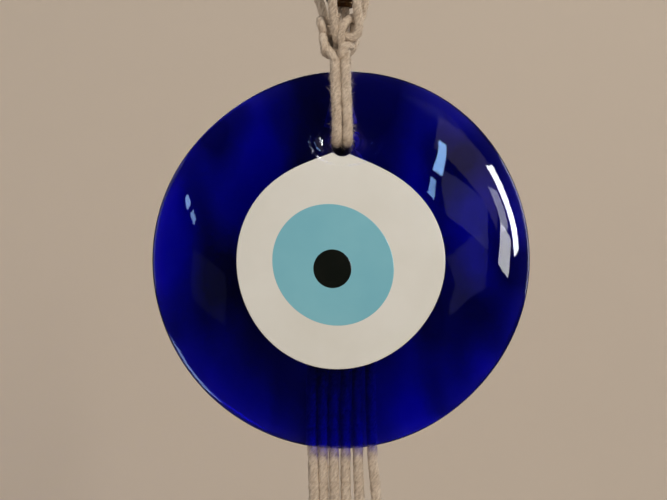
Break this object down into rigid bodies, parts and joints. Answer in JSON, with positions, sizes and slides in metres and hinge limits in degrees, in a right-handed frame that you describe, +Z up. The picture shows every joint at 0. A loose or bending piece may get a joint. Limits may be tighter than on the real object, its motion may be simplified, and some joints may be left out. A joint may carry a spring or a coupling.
{
  "type": "evil eye ornament",
  "caption": "Hanging ornament: a round cobalt glass disc with an inlaid eye, on a knotted cotton cord hanger with a bead and a fringe.",
  "frame": {"origin": "the lowest point of the ring's inner wall at its top, where a hook carries it", "axes": "+Z up along the hanging cords, +X to the viewer's right, the eye faces -Y"},
  "size_m": [0.11, 0.0192, 0.2618],
  "materials": {
    "brass": "polished, lightly handled",
    "aged_brass": "dark antique brass",
    "cotton_cord": "matt, soft twisted cotton",
    "cobalt_glass": "fire-polished, transparent",
    "white_glass": "fire-polished, opaque",
    "sky_glass": "fire-polished, opaque",
    "black_glass": "fire-polished, opaque"
  },
  "bodies": {
    "ring": {"hanging_ring": "brass"},
    "suspension": {"left_ring_loop": "cotton_cord", "middle_ring_loop": "cotton_cord", "right_ring_loop": "cotton_cord", "gathering_wrap": "cotton_cord"},
    "hanger": {"neck_strands": "cotton_cord", "upper_knot": "cotton_cord", "left_side_strands": "cotton_cord", "right_side_strands": "cotton_cord", "core_strands": "cotton_cord"},
    "bead": {"bead": "aged_brass"},
    "closing_knot": {"closing_knot": "cotton_cord"},
    "pendant": {"glass_disc": "cobalt_glass", "white_drop": "white_glass", "blue_iris": "sky_glass", "black_pupil": "black_glass", "left_front_strand": "cotton_cord", "right_front_strand": "cotton_cord", "outer_left_back_strand": "cotton_cord", "inner_left_back_strand": "cotton_cord", "inner_right_back_strand": "cotton_cord", "outer_right_back_strand": "cotton_cord", "back_knot": "cotton_cord"},
    "fringe": {"fringe_strand_1": "cotton_cord", "fringe_strand_2": "cotton_cord", "fringe_strand_3": "cotton_cord", "fringe_strand_4": "cotton_cord", "fringe_strand_5": "cotton_cord", "fringe_strand_6": "cotton_cord", "end_knot_1": "cotton_cord", "end_knot_2": "cotton_cord", "end_knot_3": "cotton_cord", "end_knot_4": "cotton_cord", "end_knot_5": "cotton_cord", "end_knot_6": "cotton_cord", "frayed_tip_1": "cotton_cord", "frayed_tip_2": "cotton_cord", "frayed_tip_3": "cotton_cord", "frayed_tip_4": "cotton_cord", "frayed_tip_5": "cotton_cord", "frayed_tip_6": "cotton_cord"}
  },
  "joints": [
    {"name": "hanger_swing", "type": "hinge", "parent": "ring", "child": "suspension", "pos_m": [0, 0, -0.02275], "axis": [1, 0, 0], "range_deg": [-45, 45]},
    {"name": "neck_twist", "type": "hinge", "parent": "suspension", "child": "hanger", "pos_m": [0, 0, -0.043], "axis": [0, 0, 1], "range_deg": [-60, 60]},
    {"name": "bead_spin", "type": "hinge", "parent": "hanger", "child": "bead", "pos_m": [0, 0, -0.05805], "axis": [0, 0, 1], "continuous": true},
    {"name": "knot_sway", "type": "hinge", "parent": "hanger", "child": "closing_knot", "pos_m": [0, 0, -0.0705], "axis": [0, 1, 0], "range_deg": [-15, 15]},
    {"name": "pendant_swing", "type": "hinge", "parent": "closing_knot", "child": "pendant", "pos_m": [0, 0, -0.0778], "axis": [1, 0, 0], "range_deg": [-30, 30]},
    {"name": "fringe_lift", "type": "hinge", "parent": "pendant", "child": "fringe", "pos_m": [0, 0.0055, -0.1268], "axis": [1, 0, 0], "range_deg": [0, 70]}
  ]
}
